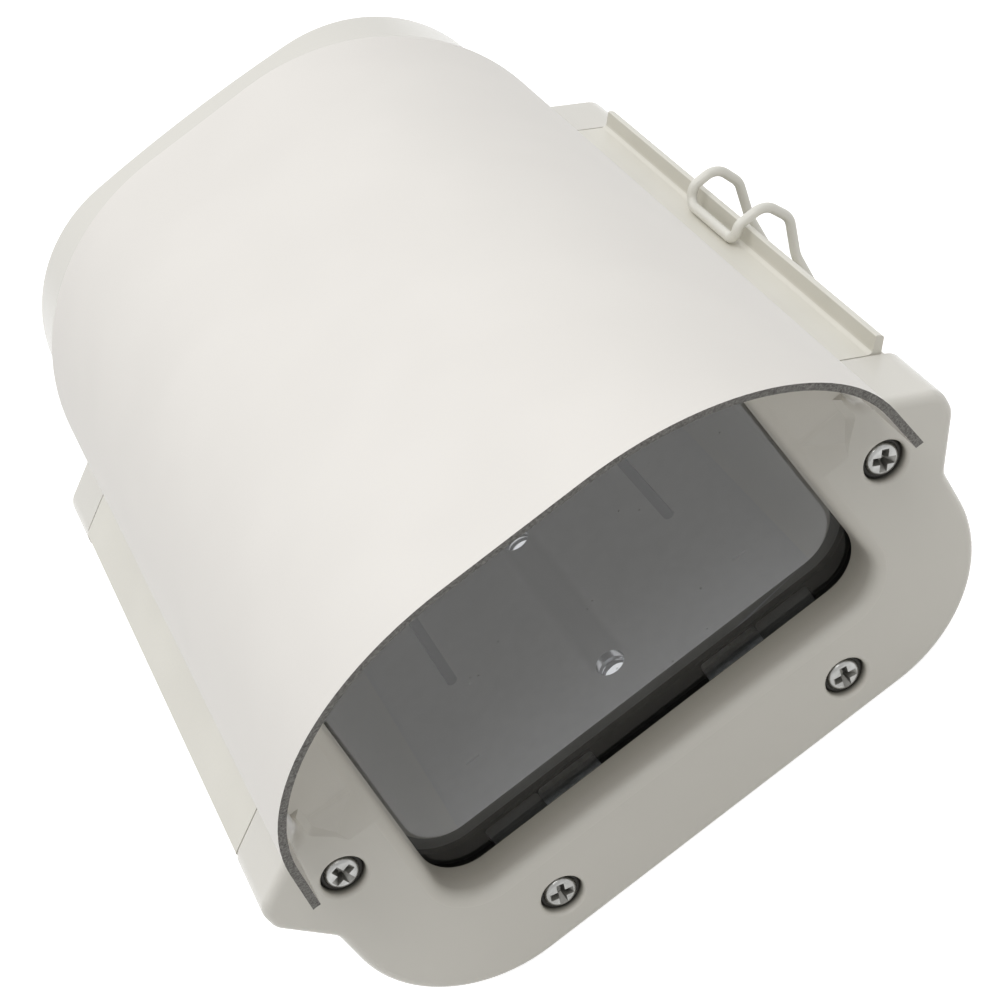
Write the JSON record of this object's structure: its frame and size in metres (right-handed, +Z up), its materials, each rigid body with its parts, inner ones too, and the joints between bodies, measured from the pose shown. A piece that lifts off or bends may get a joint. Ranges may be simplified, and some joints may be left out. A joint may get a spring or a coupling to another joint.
{
  "type": "security camera housing",
  "caption": "Weatherproof camera housing: extruded tray, side-opening domed lid under a sun shield, moulded end caps, front window and cable glands.",
  "frame": {"origin": "midway between the two tapped bracket holes, at their mouths on the roof of the bracket channel", "axes": "+X to the latch side, +Y from the window to the rear cap, +Z up through the sun shield"},
  "size_m": [0.1641, 0.2166, 0.1211],
  "materials": {
    "body_paint": "satin powder coat on extruded aluminium",
    "lid_paint": "satin powder coat on extruded aluminium",
    "shield_paint": "satin powder coat on rolled aluminium sheet",
    "cap_paint": "semi-gloss paint on die-cast aluminium",
    "bare_aluminium": "turned, bare",
    "rivet_aluminium": "bare rivet",
    "stainless": "stainless, plain",
    "latch_wire": "satin powder coat on spring wire",
    "plated_steel": "zinc-plated sheet steel",
    "earth_brass": "turned brass",
    "window_glass": "clear float glass",
    "black_rubber": "matt black rubber",
    "fibre_washer": "red fibre",
    "gland_plastic": "black moulded polyamide"
  },
  "bodies": {
    "housing": {"tray": "body_paint", "front_cap": "cap_paint", "rear_cap": "cap_paint", "window_gasket": "black_rubber", "window_glass": "window_glass", "glass_clips": "stainless", "clip_screws": "stainless", "front_gasket": "black_rubber", "rear_gasket": "black_rubber", "lid_seals": "black_rubber", "front_screws": "stainless", "rear_screws": "stainless", "floor_screws": "stainless", "latch_bracket": "plated_steel", "latch_rivets": "rivet_aluminium", "gland_bodies": "gland_plastic", "gland_locknuts": "gland_plastic", "gland_caps": "gland_plastic", "gland_seals": "black_rubber", "earth_screw": "earth_brass"},
    "lid": {"lid": "lid_paint", "sun_shield": "shield_paint", "shield_standoffs": "bare_aluminium", "shield_screws": "stainless"},
    "latch": {"wire_latch": "latch_wire"},
    "camera_sled": {"camera_plate": "plated_steel", "camera_screw": "plated_steel", "camera_washer": "fibre_washer"}
  },
  "joints": [
    {"name": "lid_hinge", "type": "hinge", "parent": "housing", "child": "lid", "pos_m": [-0.0755, 0, 0.0292], "axis": [0, -1, 0], "range_deg": [0, 95]},
    {"name": "latch_pivot", "type": "hinge", "parent": "housing", "child": "latch", "pos_m": [0.082, 0.02615, 0.0126], "axis": [0, 1, 0], "range_deg": [0, 150]},
    {"name": "plate_slide", "type": "slide", "parent": "housing", "child": "camera_sled", "axis": [0, 1, 0], "range_m": [-0.034, 0.0015]}
  ]
}
